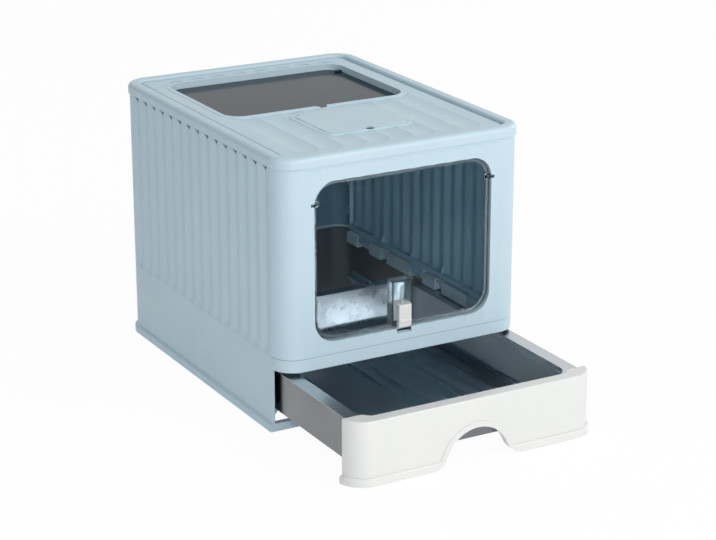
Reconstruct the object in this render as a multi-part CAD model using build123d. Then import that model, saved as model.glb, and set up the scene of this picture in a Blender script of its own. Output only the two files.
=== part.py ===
from build123d import *
import os
from math import asin, cos, pi, sin, sqrt

# Enclosed litter box with a pull-out steel drawer, a hinged clear door, a lid with two hinged
# covers, and ribbed side walls that fold inwards. Millimetres, +Z up, the front looks along -Y.
# The drawer stands open, and the origin is on the floor under the middle of the whole object as
# it stands, drawer included. "d" is a depth behind the front face of the walls.

# ---- driving dimensions ----------------------------------------------------------------
body_width = 383.0          # outer width over the walls
body_depth = 512.0          # outer depth over the walls
corner_radius = 33.0        # vertical corners, seen from above
sheet = 3.0                 # moulded wall
fit_gap = 0.3               # between pieces that seat on each other
half_w = body_width / 2

base_height = 110.0         # floor to the seam under the walls
wall_height = 269.4         # seam under the walls to the seam under the lid
wall_top = base_height + wall_height
lip_out = 4.0               # foot lip of the base and of the drawer front
lip_height = 12.0
lip_bevel = 2.0
rim_thickness = 3.0         # flat rim that the walls stand on
rim_side = 9.0
rim_end = 12.5
rail_height = 18.0          # rail over the drawer
rail_bottom = base_height - rail_height
mouth_depth = 29.0          # how far the drawer front's ends reach back
sill_depth = 10.0           # low bar across the mouth of the base
tab_inset = 81.5            # plug tabs under the end panels: outer ones, in from the sides
tab_half = 18.0
tab_sheet = 2.4
tab_drop = 11.0
tab_rise = 12.0

door_width = 280.0          # doorway
door_height = 228.4
door_rise = 18.2            # doorway's sill above the seam
door_bottom = base_height + door_rise
door_top = door_bottom + door_height
door_radius = 32.0
door_flange = 12.0          # depth of the doorway's lining
lining = 2.5
door_axis_drop = 30.6       # pins below the doorway's top
door_axis_z = door_top - door_axis_drop
door_axis_d = 5.8
door_gap = 1.8              # pane to doorway
pane = 2.5
pane_bead = 1.2             # raised edge round the back of the pane
bead_width = 4.0
pivot_radius = 2.5
pivot_wall = 1.8
pivot_boss = 7.0            # boss on each side of the pane
pivot_slot = 2.3            # half the slot that the pin snaps in through
pin_depth = 2.2             # how far each pin goes into what carries it
running = 0.05              # radial clearance of a turning pin

rib_count = 15
rib_span = body_depth - 2 * corner_radius - 0.5
rib_pitch = rib_span / rib_count
rib_depth = 3.0
rib_sheet = 2.4
beam_depth = 12.0           # side wall's top and bottom beams, from the outside
beam_height = 8.0
head_height = 10.0          # top beam, which the vents cut into
vent_half = 7.5             # pointed vents under the lid, one in each valley
vent_drop = 7.0
post = 4.0                  # side wall's end posts
gusset_height = 14.0
lid_clearance = 0.4         # side walls stop short of the lid
lock_rises = (30.0, 78.0, 190.0, 238.0)
lock_half = 6.0
lock_reach = 7.5
lock_sheet = 2.4
flute_pitch_aim = 29.0
flute_depth = 1.4

hinge_inset = 9.5           # side wall pins, in from the outer face
hinge_drop = 9.0            # and below the seam
hinge_x = half_w - hinge_inset
hinge_z = base_height - hinge_drop
hinge_pin_radius = 2.0
knuckle_radius = 6.0
knuckle = 33.0
short_boss = 35.0
knuckle_gap = 2.0
group_gap = 20.0
first_boss = corner_radius + 13.0
last_group = 2 * short_boss + knuckle + 2 * knuckle_gap
group_pitch = (body_depth - corner_radius - last_group - first_boss) / 2
rail_strip = 2.4

lid_over = 2.0              # lid beyond the walls
lid_height = 15.6
lid_top = wall_top + lid_height
field_drop = 3.5            # fluted middle of the lid, below the rim's crown
lid_field = lid_top - field_drop
groove_drop = 8.0
lid_groove = lid_top - groove_drop
lid_rim = 18.0
lid_groove_width = 4.0
lid_skin = 3.0
lid_land = 5.0              # width of the skirt's foot
crown_radius = 7.0
lid_flute_pitch = 36.5
lid_flute_depth = 2.2
lid_flute_inset = 11.0      # flutes stop short of the field's ends
band_width = 5.0            # flat raised band round both openings of the lid
band_rise = 0.6
tongue_gap = 0.5
tongue_sheet = 2.2
tongue_drop = 8.0

recess_wall = 2.5           # round both recesses of the lid
roof_width = 290.0          # opening for the smoked flap
roof_depth = 222.0
roof_radius = 27.0
roof_rear_inset = 51.0      # from the rear face of the walls
roof_centre_d = body_depth - roof_rear_inset - roof_depth / 2
roof_gap = 0.9
flap_sheet = 2.5
flap_drop = 8.5             # flap below the fluted field
flap_top = lid_field - flap_drop
ledge_width = 9.0
ledge_sheet = 1.9
roof_axis_z = flap_top + 0.4
roof_axis_inset = 23.5      # axis ahead of the opening's rear edge
roof_pin_radius = 1.5
roof_ear = 10.0
finger_radius = 9.0
ear_wall = 1.1              # round the pins of both covers

cover_width = 130.0         # small cover ahead of the flap
cover_depth = 109.0
cover_radius = 12.0
cover_front_d = 98.0
cover_centre_d = cover_front_d + cover_depth / 2
cover_sheet = 2.4
cover_gap = 0.5
cover_rise = 1.4            # cover above the fluted field
cover_top = lid_field + cover_rise
cover_axis_z = cover_top - 1.4
cover_axis_inset = 4.2
cover_pin_radius = 1.1
cover_ear = 8.0
shelf = 7.0                 # ledge that carries the cup's flange
shelf_rear = 12.0           # deeper behind, where the cover's tail swings down
shelf_drop = 5.8            # shelf below the cover's top
shelf_sheet = 2.0
cup_flange = 1.4
cup_height = 23.5
cup_sheet = 1.6
cup_gap = 0.5
cup_radius = 7.0
cup_lap = 4.0               # flange beyond the cup's rear wall
slot_rows, slot_columns = 3, 6
pad_height = 16.0

pull_out = 192.5            # how far the drawer stands open
front_gap = 1.0             # over and under the drawer front
drawer_top = rail_bottom - front_gap
drawer_bottom = front_gap
ledge_depth = 18.0          # top ledge of the drawer front
ledge_end_depth = mouth_depth - 1.0
ledge_turn_out = half_w - 26.5
ledge_turn_in = ledge_turn_out - 16.0
arch_radius = 50.0
arch_flare = 28.0
arch_lining = 3.0
arch_bead = 8.0
arch_proud = 1.2
grip_depth = 11.0
frame_side_gap = 5.5        # drawer frame to the base's wall
frame_x = half_w - sheet - frame_side_gap
frame_front = 14.0
frame_end_gap = 26.5
frame_rear = body_depth - frame_end_gap
frame_bottom = 30.0
frame_drop = 5.0
frame_top = drawer_top - frame_drop
frame_radius = 20.0
frame_foot = 12.0           # flange under the frame, which runs on the runners
frame_lip = 8.0             # flange on top, which carries the pan
steel = 1.2
pan_flange = 21.0
pan_draft = 11.0
pan_top_x = frame_x - pan_flange
pan_front = frame_front + 10.0
pan_rear = frame_rear - pan_flange
pan_floor_z = frame_bottom + 5.0
pan_radius = 24.0
pan_seat = 0.1
skirt_bottom = frame_top + pan_seat + steel + 1.3
runner_reach = 12.5
runner_sheet = 2.6
runner_leg = 2.2
runner_rise = 8.0
runner_web = 12.0
runner_webs = 7
screw_places = (-140.0, -100.0, 100.0, 140.0)
screw_z = 62.0
screw_radius = 1.45
screw_head = 3.4
screw_head_height = 2.3
screw_boss = 5.0

latch_half = 10.2           # bolt at the foot of the door
channel_half = 15.5         # clear channel behind it
latch_back = 24.0
latch_wall = 1.6
latch_height = 66.0
bolt_gap = 1.8
bolt_bottom = door_bottom + bolt_gap
latch_top = bolt_bottom + latch_height
bolt_height = 33.0
bolt_travel = 6.0
bolt_proud = 3.0
stem_half = 2.6
stem_height = 14.0

mid_y = pull_out / 2
front = mid_y - body_depth / 2
rear = mid_y + body_depth / 2


def at(d):
    """Y of a depth behind the front face."""
    return front + d


def block(x0, x1, y0, y1, z0, z1):
    return Pos((x0 + x1) / 2, (y0 + y1) / 2, (z0 + z1) / 2) * Box(x1 - x0, y1 - y0, z1 - z0)


def slab(width, depth, radius, z0, z1, y_mid=mid_y):
    """Plate with rounded corners, seen from above."""
    plan = Pos(0, y_mid, z0) * RectangleRounded(width, depth, radius)
    return extrude(plan, amount=z1 - z0, dir=(0, 0, 1))


def body_slab(inset, z0, z1):
    """The body's own outline, taken in by an amount (out, when negative)."""
    return slab(body_width - 2 * inset, body_depth - 2 * inset, corner_radius - inset, z0, z1)


def upright(width, z0, z1, radius, d0, d1):
    """Rounded plate that stands across the box."""
    outline = Plane.XZ.offset(-at(d0)) * (Pos(0, (z0 + z1) / 2) * RectangleRounded(width, z1 - z0, radius))
    return extrude(outline, amount=d1 - d0, dir=(0, 1, 0))


def rod_x(x0, x1, y, z, radius):
    return Pos((x0 + x1) / 2, y, z) * Rot(0, 90, 0) * Cylinder(radius, abs(x1 - x0))


def rod_y(x, y0, y1, z, radius):
    return Pos(x, (y0 + y1) / 2, z) * Rot(90, 0, 0) * Cylinder(radius, abs(y1 - y0))


def sides(piece):
    """The same piece on the left (-X) and on the right."""
    return mirror(piece, about=Plane.YZ), piece


def knuckle_spans():
    """Depths of each hinge group: short boss, wall knuckle, long boss."""
    spans = []
    for n in range(3):
        start = first_boss + n * group_pitch
        boss = (start, start + short_boss)
        lug = (boss[1] + knuckle_gap, boss[1] + knuckle_gap + knuckle)
        end = start + (last_group if n == 2 else group_pitch - group_gap)
        spans.append((boss, lug, (lug[1] + knuckle_gap, end)))
    return spans


def plug_tabs(y_wall, inward, z0, z1, grow=0.0):
    """Tabs under the front and rear panels, or, grown, the slots that take them."""
    near = y_wall + inward * (sheet + fit_gap - grow)
    far = y_wall + inward * (sheet + fit_gap + tab_sheet + grow)
    reach = half_w - tab_inset
    return [
        block(x - tab_half - grow, x + tab_half + grow, min(near, far), max(near, far), z0, z1)
        for x in (-reach, 0, reach)
    ]


# ---- base ------------------------------------------------------------------------------
def foot_lip(z0):
    lip = body_slab(-lip_out, z0, lip_height)
    return chamfer(lip.faces().sort_by(Axis.Z)[-1].edges(), lip_bevel)


def base_housing():
    rim_under = base_height - rim_thickness
    shell = body_slab(0, 0, base_height) + foot_lip(0)
    shell -= body_slab(sheet, -1, rim_under)
    shell -= slab(body_width - 2 * rim_side, body_depth - 2 * rim_end, corner_radius - rim_end,
                  rim_under - 1, base_height + 1)
    wide = half_w + lip_out + 1
    shell -= block(-wide, wide, front - lip_out - 1, at(mouth_depth), -1, rail_bottom)
    inner = half_w - sheet
    shell += block(-inner, inner, at(mouth_depth), at(mouth_depth + sill_depth), 0, lip_height)
    skirt_x = half_w - corner_radius
    skirt_y = rear - rim_end
    shell += block(-skirt_x, skirt_x, skirt_y, skirt_y + sheet, skirt_bottom, rim_under)
    for boss, lug, far in knuckle_spans():
        y0, y1 = at(lug[0] - knuckle_gap), at(lug[1] + knuckle_gap)
        slot = block(half_w - rim_side - 1, half_w - sheet, y0, y1, rim_under - 1, base_height + 1)
        for one in sides(slot):
            shell -= one
    for y_wall, inward in ((front, 1), (rear, -1)):
        for slot in plug_tabs(y_wall, inward, rim_under - 1, base_height + 1, fit_gap):
            shell -= slot
    return shell


def hinge_rail():
    """Right rail: a strip on the base's wall that carries the pin bosses."""
    x_wall = half_w - sheet
    boss_x = hinge_x - knuckle_radius
    boss_top = base_height - rim_thickness - fit_gap
    d0, d1 = corner_radius + 4, body_depth - corner_radius - 4
    rail = block(x_wall - rail_strip, x_wall, at(d0), at(d1), skirt_bottom, boss_top)
    for boss, lug, far in knuckle_spans():
        y0, y1 = at(lug[0] - knuckle_gap), at(lug[1] + knuckle_gap)
        rail -= block(boss_x, x_wall, y0, y1, hinge_z - knuckle_radius - 1, boss_top + 1)
        for b0, b1 in (boss, far):
            lump = block(boss_x, x_wall, at(b0), at(b1), skirt_bottom, boss_top)
            inner_edge = lump.edges().filter_by(Axis.Y).sort_by(Axis.X)[:2].sort_by(Axis.Z)[-1]
            rail += fillet(inner_edge, knuckle_radius - 1.5)
        rail -= rod_y(hinge_x, at(boss[0] - 1), at(far[1] + 1), hinge_z, hinge_pin_radius + running)
    return rail


def hinge_pins():
    return group(
        rod_y(hinge_x, at(boss[0] + 1), at(far[1] - 1), hinge_z, hinge_pin_radius)
        for boss, lug, far in knuckle_spans()
    )


def group(pieces):
    """Separate solids under one name."""
    return Compound(children=[Solid(piece.solids()[0].wrapped) for piece in pieces])


def runner():
    """Right runner: an angle along the base's wall that the drawer slides on, with webs below."""
    x_wall = half_w - sheet
    x_edge = x_wall - runner_reach
    d0, d1 = mouth_depth + sill_depth, body_depth - corner_radius
    top = frame_bottom - fit_gap
    under = top - runner_sheet
    section = Polyline((x_edge, under), (x_edge, top), (x_wall - runner_leg, top),
                       (x_wall - runner_leg, top + runner_rise), (x_wall, top + runner_rise), (x_wall, under),
                       (x_edge, under))
    angle = extrude(Plane.XZ.offset(-at(d0)) * make_face(section), amount=d1 - d0, dir=(0, 1, 0))
    web_face = Polyline((x_edge + 2, under), (x_wall, under), (x_wall, under - runner_web), (x_edge + 2, under))
    web = extrude(Plane.XZ.offset(-at(d0)) * make_face(web_face), amount=2 * runner_leg, dir=(0, 1, 0))
    step = (d1 - d0 - 2 * runner_leg) / (runner_webs - 1)
    for n in range(runner_webs):
        angle += Pos(0, n * step, 0) * web
    return angle


# ---- walls -----------------------------------------------------------------------------
def end_panel(y_wall, inward):
    """Front or rear panel: wraps both corners and ends where the side walls start."""
    shell = body_slab(0, base_height, wall_top) - body_slab(sheet, base_height - 1, wall_top + 1)
    y0, y1 = sorted((y_wall - inward, y_wall + inward * (corner_radius - 0.2)))
    shell &= block(-half_w - 1, half_w + 1, y0, y1, base_height, wall_top)
    flat = body_width - 2 * corner_radius
    count = round(flat / flute_pitch_aim)
    pitch = flat / count
    flute_radius = ((pitch / 2) ** 2 + flute_depth ** 2) / (2 * flute_depth)
    y_axis = y_wall - inward * (flute_radius - flute_depth)
    middle = (base_height + wall_top) / 2
    for n in range(count):
        x = -flat / 2 + (n + 0.5) * pitch
        shell -= Pos(x, y_axis, middle) * Cylinder(flute_radius, wall_height - beam_height)
    tab_top = base_height + tab_rise
    for tab in plug_tabs(y_wall, inward, base_height - tab_drop, tab_top):
        box = tab.bounding_box()
        near, far = sorted((y_wall + inward * (sheet - 0.5), y_wall + inward * (sheet + fit_gap)))
        shell += tab + block(box.min.X, box.max.X, near, far, base_height, tab_top)
    return shell


def front_panel():
    panel = end_panel(front, 1)
    panel += upright(door_width + 2 * lining, door_bottom - lining, door_top + lining,
                     door_radius + lining, sheet / 2, door_flange)
    jamb = door_width / 2 + lining
    for one in sides(rod_x(jamb - 0.5, jamb + 3.5, at(door_axis_d), door_axis_z, 2 * pivot_radius)):
        panel += one
    panel -= upright(door_width, door_bottom, door_top, door_radius, -2, door_flange + 1)
    reach = jamb + pin_depth + 0.3
    panel -= rod_x(-reach, reach, at(door_axis_d), door_axis_z, pivot_radius + running)
    for slot in sides(block(jamb - lining - 1, reach, at(-1), at(door_axis_d), door_axis_z - pivot_slot,
                            door_axis_z + pivot_slot)):
        panel -= slot
    notch = latch_half + 1.5
    panel -= block(-notch, notch, at(-2), at(pane_front + 0.9), door_bottom - bolt_travel - 1, door_bottom + 1)
    return panel


def rear_panel():
    return end_panel(rear, -1)


def wavy_edge(x, start):
    """One side of the side wall's section: crests at the ends, one valley in every pitch."""
    half, quarter = rib_pitch / 2, rib_pitch / 4
    radius = (quarter ** 2 + (rib_depth / 2) ** 2) / rib_depth
    lean = asin(quarter / radius) / 2
    dx, dy = radius * (1 - cos(lean)), radius * sin(lean)
    middle = x - rib_depth / 2
    stop = start + rib_count * rib_pitch
    edge = [ThreePointArc((x, start), (x - dx, start + dy), (middle, start + quarter))]
    for n in range(rib_count):
        valley = start + n * rib_pitch + half
        edge.append(ThreePointArc((middle, valley - quarter), (x - rib_depth, valley), (middle, valley + quarter)))
        if n < rib_count - 1:
            crest = valley + half
            edge.append(ThreePointArc((middle, crest - quarter), (x, crest), (middle, crest + quarter)))
    edge.append(ThreePointArc((middle, stop - quarter), (x - dx, stop - dy), (x, stop)))
    return edge


def side_wall():
    """Right wall: a corrugated skin with beams and posts, hinge knuckles and corner tongues."""
    start, stop = mid_y - rib_span / 2, mid_y + rib_span / 2
    x_skin = half_w - rib_sheet
    ends = [Line((x_skin, y), (half_w, y)) for y in (start, stop)]
    skin = make_face(wavy_edge(half_w, start) + wavy_edge(x_skin, start) + ends)
    top = wall_top - lid_clearance
    wall = extrude(Pos(0, 0, base_height) * skin, amount=top - base_height, dir=(0, 0, 1))
    x_in, x_mid = half_w - beam_depth, half_w - rib_depth - rib_sheet / 2
    beam_top = base_height + beam_height
    wall += block(x_in, x_mid, start, stop, base_height, beam_top)
    wall += block(x_in, x_mid, start, stop, top - head_height, top)
    for y0 in (start, stop - post):
        wall += block(x_in, x_mid, y0, y0 + post, base_height, top)
    gusset = Polyline((x_in + 1, beam_top), (x_mid, beam_top), (x_mid, beam_top + gusset_height),
                      (x_in + 1 + post, beam_top + gusset_height), (x_in + 1, beam_top + post), (x_in + 1, beam_top))
    for n in range(2, rib_count, 3):
        y = start + (n + 0.5) * rib_pitch
        wall += extrude(Plane.XZ.offset(-y + 1.2) * make_face(gusset), amount=2.4, dir=(0, 1, 0))
    vent = Polyline((-vent_half, top + 0.5), (vent_half, top + 0.5), (0, top - vent_drop), (-vent_half, top + 0.5))
    cutter = extrude(Plane.YZ.offset(x_in - 1) * make_face(vent), amount=beam_depth + 2, dir=(1, 0, 0))
    for n in range(rib_count):
        wall -= Pos(0, start + (n + 0.5) * rib_pitch, 0) * cutter
    for boss, lug, far in knuckle_spans():
        wall += rod_y(hinge_x, at(lug[0]), at(lug[1]), hinge_z, knuckle_radius)
        wall += block(hinge_x - 2.5, hinge_x + 4, at(lug[0]), at(lug[1]), hinge_z, base_height + 1)
        wall -= rod_y(hinge_x, at(lug[0] - 1), at(lug[1] + 1), hinge_z, hinge_pin_radius + running)
    for rise in lock_rises:
        z = base_height + rise
        for y0, y1 in ((start - lock_reach, start + post), (stop - post, stop + lock_reach)):
            wall += block(x_in + 1, x_in + 1 + lock_sheet, y0, y1, z - lock_half, z + lock_half)
    return wall


# ---- lid -------------------------------------------------------------------------------
roof_y = at(roof_centre_d)
roof_rear = roof_y + roof_depth / 2
roof_axis_y = roof_rear - roof_axis_inset
roof_ear_x = roof_width / 2 - roof_gap - 1.0
ledge_under = flap_top - flap_sheet - ledge_sheet
cover_y = at(cover_centre_d)
cover_rear = cover_y + cover_depth / 2
cover_axis_y = cover_rear - cover_axis_inset
cover_ear_x = cover_width / 2 - cover_radius + 3.0
shelf_top = cover_top - shelf_drop
shelf_under = shelf_top - shelf_sheet
cup_top = shelf_top + cup_flange
cup_bottom = cup_top - cup_height


def between(width, y0, y1, radius, z0, z1):
    """Rounded plate between two places in Y."""
    return slab(width, y1 - y0, radius, z0, z1, (y0 + y1) / 2)


def lid():
    solid = body_slab(-lid_over, wall_top, lid_top)
    solid = fillet(solid.faces().sort_by(Axis.Z)[-1].edges(), crown_radius)
    rim_inside = lid_rim - lid_over
    field_inset = rim_inside + lid_groove_width
    pocket = body_slab(rim_inside, lid_groove, lid_top + 1)
    solid -= pocket
    rim_mouth = solid.faces().filter_by(Axis.Z).sort_by(Axis.Z)[-1].inner_wires()[0].edges()
    solid = fillet(rim_mouth, crown_radius / 2)
    field = body_slab(field_inset, lid_groove - 1, lid_field)
    solid += chamfer(field.faces().sort_by(Axis.Z)[-1].edges(), 2.0)
    solid -= flutes(field_inset)
    for width, depth, radius, y in ((roof_width, roof_depth, roof_radius, roof_y),
                                    (cover_width, cover_depth, cover_radius, cover_y)):
        grow = 2 * (band_width + recess_wall)
        band = slab(width + grow, depth + grow, radius + grow / 2, lid_field - 4, lid_field + band_rise, y)
        solid += chamfer(band.faces().sort_by(Axis.Z)[-1].edges(), 0.5)
    # hollow underneath: skirt, rim and field are all one skin thick
    groove_under = lid_groove - lid_skin
    solid -= body_slab(lid_land - lid_over, wall_top - 1, groove_under)
    ring = body_slab(lid_skin - lid_over + 1.5, groove_under - 1, lid_top - lid_skin - 1.5)
    ring -= body_slab(rim_inside - lid_skin, groove_under - 2, lid_top)
    solid -= ring
    under = lid_field - lid_skin - lid_flute_depth
    solid -= body_slab(field_inset + lid_skin, groove_under - 1, under)
    solid = roof_recess(solid)
    solid = cover_recess(solid)
    # tongues that drop inside the front and rear panels
    reach = half_w - corner_radius - lid_rim
    for y_wall, inward in ((front, 1), (rear, -1)):
        near = y_wall + inward * (sheet + tongue_gap)
        y0, y1 = sorted((near, near + inward * tongue_sheet))
        solid += block(-reach, reach, y0, y1, wall_top - tongue_drop, lid_top - lid_skin - 1)
    return solid


def flutes(field_inset):
    """Shallow troughs with round ends that run from front to back, ridges between them."""
    half = lid_flute_pitch / 2
    radius = (half ** 2 + lid_flute_depth ** 2) / (2 * lid_flute_depth)
    length = body_depth - 2 * (field_inset + lid_flute_inset)
    count = int((half_w - field_inset - half / 2) / lid_flute_pitch)
    trough = Pos(0, mid_y, lid_field + radius - lid_flute_depth) * Rot(90, 0, 0) * Cylinder(radius, length)
    plan = slab(lid_flute_pitch - 0.4, length, half - 0.3, lid_field - lid_flute_depth - 1, lid_field + 1)
    trough = trough & plan
    return [Pos((n + 0.5) * lid_flute_pitch, 0, 0) * trough for n in range(-count, count)]


def roof_recess(solid):
    """Frame round the roof opening: a ledge carries the flap ahead of its pins."""
    low = flap_top - flap_sheet
    solid += slab(roof_width + 2 * recess_wall, roof_depth + 2 * recess_wall, roof_radius + recess_wall,
                  ledge_under, lid_field - 2, roof_y)
    solid -= slab(roof_width, roof_depth, roof_radius, low, lid_top, roof_y)
    solid -= slab(roof_width - 2 * ledge_width, roof_depth - 2 * ledge_width, roof_radius - ledge_width,
                  ledge_under - 1, lid_top, roof_y)
    tail = slab(roof_width, roof_depth, roof_radius, ledge_under - 1, flap_top, roof_y)
    ear = roof_pin_radius + ear_wall
    solid -= tail & block(-roof_width, roof_width, roof_axis_y - ear - 2.8, roof_rear + 1, ledge_under - 1, flap_top)
    reach = roof_width / 2 + recess_wall + 1
    solid -= rod_x(-reach, reach, roof_axis_y, roof_axis_z, roof_pin_radius + running)
    solid -= Pos(0, roof_y - roof_depth / 2, lid_field) * Cylinder(finger_radius, 9.0)
    return solid


def cover_recess(solid):
    """Frame round the small cover, with a shelf for the cup's flange."""
    solid += slab(cover_width + 2 * recess_wall, cover_depth + 2 * recess_wall, cover_radius + recess_wall,
                  shelf_under, lid_field - 2, cover_y)
    solid -= slab(cover_width, cover_depth, cover_radius, shelf_top, lid_top, cover_y)
    solid -= between(cover_width - 2 * shelf, cover_rear - cover_depth + shelf, cover_rear - shelf_rear,
                     cup_radius + cup_gap, shelf_under - 1, lid_top)
    reach = cover_width / 2 + recess_wall + 1
    solid -= rod_x(-reach, reach, cover_axis_y, cover_axis_z, cover_pin_radius + running)
    solid -= Pos(0, cover_y - cover_depth / 2, lid_field) * Cylinder(finger_radius - 2, 5.0)
    return solid


def flap_plate(width, depth, radius, thick, top, y_mid, gap, notch):
    """Flat plate with a bevelled upper edge and a finger notch in front."""
    plate = slab(width - 2 * gap, depth - 2 * gap, radius - gap, top - thick, top, y_mid)
    plate = chamfer(plate.faces().sort_by(Axis.Z)[-1].edges(), thick * 0.25)
    return plate - Pos(0, y_mid - depth / 2, top) * Cylinder(notch, thick * 4)


def roof_flap():
    flap = flap_plate(roof_width, roof_depth, roof_radius, flap_sheet, flap_top, roof_y, roof_gap, finger_radius - 2)
    x0 = roof_ear_x - roof_ear
    for ear in sides(rod_x(x0, roof_ear_x, roof_axis_y, roof_axis_z, roof_pin_radius + ear_wall)):
        flap += ear
    for bore in sides(rod_x(x0 - 1, roof_width, roof_axis_y, roof_axis_z, roof_pin_radius + running)):
        flap -= bore
    return flap


def roof_pins():
    pin = rod_x(roof_ear_x - roof_ear + 1, roof_width / 2 + pin_depth, roof_axis_y, roof_axis_z, roof_pin_radius)
    return group(sides(pin))


def deodoriser_cover():
    cover = flap_plate(cover_width, cover_depth, cover_radius, cover_sheet, cover_top, cover_y, cover_gap,
                       finger_radius - 3)
    ear_radius = cover_pin_radius + ear_wall
    x0 = cover_ear_x - cover_ear
    for ear in sides(rod_x(x0, cover_ear_x, cover_axis_y, cover_axis_z, ear_radius)):
        cover += ear
    for bore in sides(rod_x(x0 - 1, cover_ear_x + 1, cover_axis_y, cover_axis_z, cover_pin_radius + running)):
        cover -= bore
    corner = block(cover_ear_x, cover_width / 2, cover_axis_y - ear_radius, cover_rear, cover_top - cover_sheet - 1,
                   cover_top + 1)
    for one in sides(corner):
        cover -= one
    return cover


def cover_pins():
    pin = rod_x(cover_ear_x - cover_ear + 1, cover_width / 2 + pin_depth, cover_axis_y, cover_axis_z, cover_pin_radius)
    return group(sides(pin))


cup_x = cover_width / 2 - shelf - cup_gap
cup_front = cover_rear - cover_depth + shelf + cup_gap
cup_back = cover_rear - shelf_rear - cup_gap


def deodoriser_cup():
    """Open cup that hangs by its flange under the small cover, with a slotted floor."""
    floor = cup_bottom + cup_sheet
    cup = between(2 * cup_x, cup_front, cup_back, cup_radius, cup_bottom, cup_top)
    cup = chamfer(cup.faces().sort_by(Axis.Z)[0].edges(), cup_sheet)
    cup += between(cover_width - 2 * cup_gap, cover_rear - cover_depth + cup_gap, cup_back + cup_lap,
                   cover_radius - cup_gap, shelf_top, cup_top)
    wall = cup_sheet
    hollow = between(2 * (cup_x - wall), cup_front + wall, cup_back - wall, cup_radius - wall, floor, cup_top + 1)
    cup -= hollow
    pitch_x = 2 * (cup_x - wall) / slot_columns
    pitch_y = (cup_back - cup_front - 2 * wall) / slot_rows
    for row in range(slot_rows):
        for column in range(slot_columns):
            x = (column - (slot_columns - 1) / 2) * pitch_x
            y = (cup_front + cup_back) / 2 + (row - (slot_rows - 1) / 2) * pitch_y
            cup -= block(x - 2, x + 2, y - 0.4 * pitch_y, y + 0.4 * pitch_y, cup_bottom - 1, floor + 1)
    return cup


def deodoriser_pad():
    inset = cup_sheet + 1.0
    floor = cup_bottom + cup_sheet
    pad = between(2 * (cup_x - inset), cup_front + inset, cup_back - inset, cup_radius - inset, floor,
                  floor + pad_height)
    return chamfer(pad.faces().sort_by(Axis.Z)[-1].edges(), 1.5)


# ---- door ------------------------------------------------------------------------------
pane_front = door_axis_d - pane / 2
pane_back = door_axis_d + pane / 2
pane_x = door_width / 2 - door_gap
pane_bottom = bolt_bottom + 1.5
pane_top = door_top - door_gap


def front_door():
    radius = door_radius - door_gap
    plate = upright(2 * pane_x, pane_bottom, pane_top, radius, pane_front, pane_back)
    bead = upright(2 * pane_x, pane_bottom, pane_top, radius, pane_back - 0.5, pane_back + pane_bead)
    bead -= upright(2 * (pane_x - bead_width), pane_bottom + bead_width, pane_top - bead_width, radius - bead_width,
                    pane_back - 1, pane_back + 2)
    clear = channel_half + 0.5
    bead -= block(-clear, clear, at(pane_back), at(pane_back + 3), pane_bottom - 1, pane_bottom + bead_width + 2)
    plate += bead
    boss = rod_x(pane_x - pivot_boss, pane_x, at(door_axis_d), door_axis_z, pivot_radius + pivot_wall)
    bore = rod_x(pane_x - pivot_boss + 1.5, pane_x + 1, at(door_axis_d), door_axis_z, pivot_radius + running)
    for one in sides(boss):
        plate += one
    for one in sides(bore):
        plate -= one
    slot = stem_half + 0.6
    plate -= block(-slot, slot, at(pane_front - 1), at(pane_back + 1), bolt_bottom + 4, latch_top - 8)
    return plate


def door_pins():
    pin = rod_x(pane_x - pivot_boss + 2, door_width / 2 + lining + pin_depth, at(door_axis_d), door_axis_z, pivot_radius)
    return group(sides(pin))


def latch_channel():
    """Clear three-sided box behind the foot of the door that guides the bolt."""
    y0, y1 = at(pane_back), at(latch_back)
    box = block(-channel_half, channel_half, y0, y1, pane_bottom, latch_top)
    box = fillet(box.edges().filter_by(Axis.Z).sort_by(Axis.Y)[-2:], 2 * latch_wall)
    inner = channel_half - latch_wall
    return box - block(-inner, inner, y0 - 1, y1 - latch_wall, pane_bottom - 1, latch_top - latch_wall)


def latch_bolt():
    """White sliding block with a stem through the pane and a guide inside the channel."""
    y_face = at(pane_front - fit_gap)
    face = block(-latch_half, latch_half, at(-bolt_proud), y_face, bolt_bottom, bolt_bottom + bolt_height)
    face = chamfer(face.faces().sort_by(Axis.Y)[0].edges(), 1.0)
    grip = latch_half - 1
    face += block(-grip, grip, at(-bolt_proud - 1.2), at(1 - bolt_proud), bolt_bottom + 8, bolt_bottom + 11)
    low = bolt_bottom + bolt_travel + 6
    stem = block(-stem_half, stem_half, at(pane_front - 1), at(pane_back + 2), low, low + stem_height)
    guide_x = channel_half - latch_wall - 0.6
    guide = block(-guide_x, guide_x, at(pane_back + 0.4), at(latch_back - latch_wall - 1.4), low - 4,
                  low + stem_height + 6)
    return face + stem + guide


# ---- drawer, modelled closed and then pulled out ----------------------------------------
def pulled_out(piece):
    return Pos(0, -pull_out, 0) * piece


def arch(d0, d1, grow=0.0):
    """Finger arch: a round top that flares into the foot line, cut or grown for its bead."""
    radius = arch_radius + grow
    flare = arch_flare - grow
    z_flare = drawer_bottom + flare
    x_flare = sqrt((radius + flare) ** 2 - z_flare ** 2)
    share = radius / (radius + flare)
    x_touch, z_touch = x_flare * share, z_flare * share
    turn = (pi + asin(z_flare / (radius + flare)) + 1.5 * pi) / 2
    x_mid, z_mid = x_flare + flare * cos(turn), z_flare + flare * sin(turn)
    under = drawer_bottom - 2.0
    outline = [
        ThreePointArc((-x_touch, z_touch), (0, radius), (x_touch, z_touch)),
        ThreePointArc((x_touch, z_touch), (x_mid, z_mid), (x_flare, drawer_bottom)),
        ThreePointArc((-x_touch, z_touch), (-x_mid, z_mid), (-x_flare, drawer_bottom)),
        Polyline((x_flare, drawer_bottom), (x_flare, under), (-x_flare, under), (-x_flare, drawer_bottom)),
    ]
    return extrude(Plane.XZ.offset(-at(d0)) * make_face(outline), amount=d1 - d0, dir=(0, 1, 0))


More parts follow.
